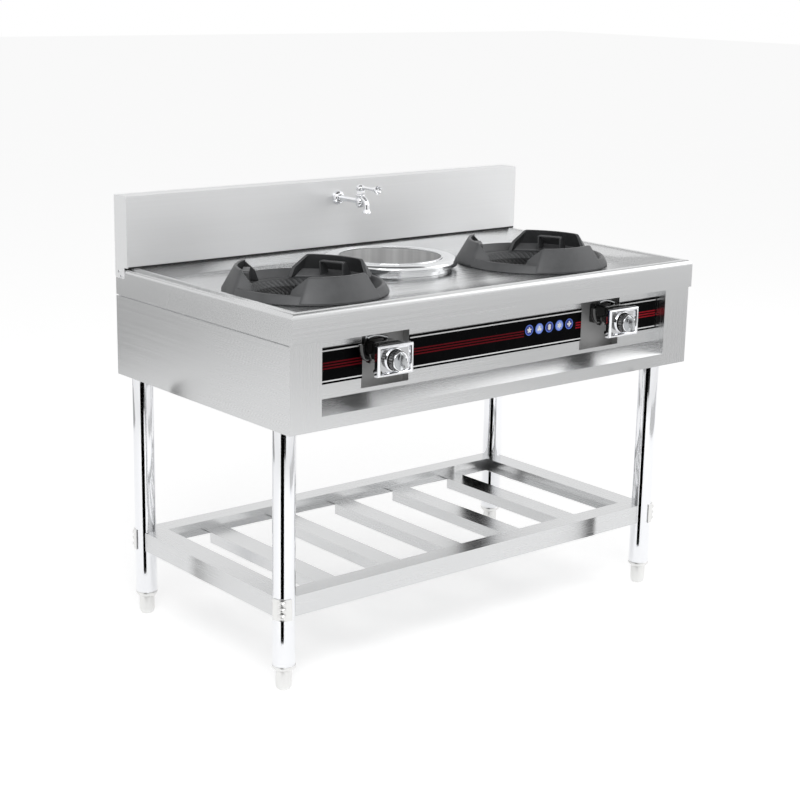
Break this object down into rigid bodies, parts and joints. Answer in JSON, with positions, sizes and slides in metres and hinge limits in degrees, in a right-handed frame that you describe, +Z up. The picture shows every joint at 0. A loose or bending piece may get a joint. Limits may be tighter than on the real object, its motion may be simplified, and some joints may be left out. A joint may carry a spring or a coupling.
{
  "type": "wok range",
  "caption": "Free-standing stainless steel wok range with cast rings, a pot well, a tap on the backsplash, a recessed control band and a slatted shelf on tubular legs.",
  "frame": {"origin": "on the floor, at the centre of the box that the range takes up, from its knobs to its gas inlet", "axes": "+X towards the right-hand end as seen from the front, +Y towards the back, +Z up"},
  "size_m": [1.2056, 0.765, 1.0118],
  "materials": {
    "stainless": "satin",
    "chrome": "polished",
    "satin_nickel": "satin",
    "cast_iron": "rough",
    "black_glass": "gloss",
    "black_enamel": "gloss",
    "galvanised": "satin",
    "pipe_paint": "semi-gloss",
    "brass": "machined",
    "knob_black": "gloss",
    "polished_steel": "polished"
  },
  "bodies": {
    "range": {"cooktop": "stainless", "backsplash": "stainless", "backsplash_screws": "chrome", "back_panel": "galvanised", "front_ledge": "stainless", "control_panel": "stainless", "fascia_strips": "black_glass", "leg_sockets": "galvanised", "foot_inserts": "satin_nickel", "shelf_slats": "stainless", "shelf_clamps": "satin_nickel", "shelf_clamp_bolts": "satin_nickel", "burner_straps": "galvanised", "injectors": "brass", "gas_manifold": "pipe_paint", "manifold_brackets": "galvanised", "gas_inlet": "brass", "pot_collar": "polished_steel", "tap_flange": "chrome", "tap_body": "chrome", "tap_cap": "chrome", "tap_supply": "galvanised", "leg_front_left": "chrome", "leg_front_right": "chrome", "leg_rear_left": "chrome", "leg_rear_right": "chrome", "shelf_rail_front": "stainless", "shelf_rail_rear": "stainless", "shelf_rail_left": "stainless", "shelf_rail_right": "stainless", "side_panel_left": "stainless", "front_stile_left": "stainless", "burner_bowl_left": "cast_iron", "burner_head_left": "cast_iron", "venturi_left": "cast_iron", "valve_body_left": "black_enamel", "bezel_left": "chrome", "side_panel_right": "stainless", "front_stile_right": "stainless", "burner_bowl_right": "cast_iron", "burner_head_right": "cast_iron", "venturi_right": "cast_iron", "valve_body_right": "black_enamel", "bezel_right": "chrome"},
    "control_left": {"knob_left": "knob_black", "valve_stem_left": "brass"},
    "ring_left": {"wok_ring_left": "cast_iron"},
    "shutter_left": {"air_shutter_left": "galvanised"},
    "control_right": {"knob_right": "knob_black", "valve_stem_right": "brass"},
    "ring_right": {"wok_ring_right": "cast_iron"},
    "shutter_right": {"air_shutter_right": "galvanised"},
    "levelling_foot_front_left": {"foot_front_left": "satin_nickel"},
    "levelling_foot_front_right": {"foot_front_right": "satin_nickel"},
    "levelling_foot_rear_left": {"foot_rear_left": "satin_nickel"},
    "levelling_foot_rear_right": {"foot_rear_right": "satin_nickel"},
    "pot": {"soup_pot": "polished_steel", "pot_handles": "polished_steel"},
    "lever": {"tap_lever": "chrome"}
  },
  "joints": [
    {"name": "knob_turn_left", "type": "hinge", "parent": "range", "child": "control_left", "pos_m": [-0.346, -0.335, 0.723], "axis": [0, 1, 0], "range_deg": [-90, 0]},
    {"name": "ring_lift_left", "type": "slide", "parent": "range", "child": "ring_left", "axis": [0, 0, 1], "range_m": [0, 0.08]},
    {"name": "shutter_turn_left", "type": "hinge", "parent": "range", "child": "shutter_left", "pos_m": [-0.346, -0.17, 0.723], "axis": [0, 1, 0], "range_deg": [0, 45]},
    {"name": "knob_turn_right", "type": "hinge", "parent": "range", "child": "control_right", "pos_m": [0.346, -0.335, 0.723], "axis": [0, 1, 0], "range_deg": [-90, 0]},
    {"name": "ring_lift_right", "type": "slide", "parent": "range", "child": "ring_right", "axis": [0, 0, 1], "range_m": [0, 0.08]},
    {"name": "shutter_turn_right", "type": "hinge", "parent": "range", "child": "shutter_right", "pos_m": [0.346, -0.17, 0.723], "axis": [0, 1, 0], "range_deg": [0, 45]},
    {"name": "foot_screw_front_left", "type": "slide", "parent": "range", "child": "levelling_foot_front_left", "axis": [0, 0, -1], "range_m": [0, 0.025]},
    {"name": "foot_screw_front_right", "type": "slide", "parent": "range", "child": "levelling_foot_front_right", "axis": [0, 0, -1], "range_m": [0, 0.025]},
    {"name": "foot_screw_rear_left", "type": "slide", "parent": "range", "child": "levelling_foot_rear_left", "axis": [0, 0, -1], "range_m": [0, 0.025]},
    {"name": "foot_screw_rear_right", "type": "slide", "parent": "range", "child": "levelling_foot_rear_right", "axis": [0, 0, -1], "range_m": [0, 0.025]},
    {"name": "pot_lift", "type": "slide", "parent": "range", "child": "pot", "axis": [0, 0, 1], "range_m": [0, 0.1]},
    {"name": "tap_turn", "type": "hinge", "parent": "range", "child": "lever", "pos_m": [0, 0.2195, 0.994], "axis": [0, 0, 1], "range_deg": [0, 90]}
  ]
}
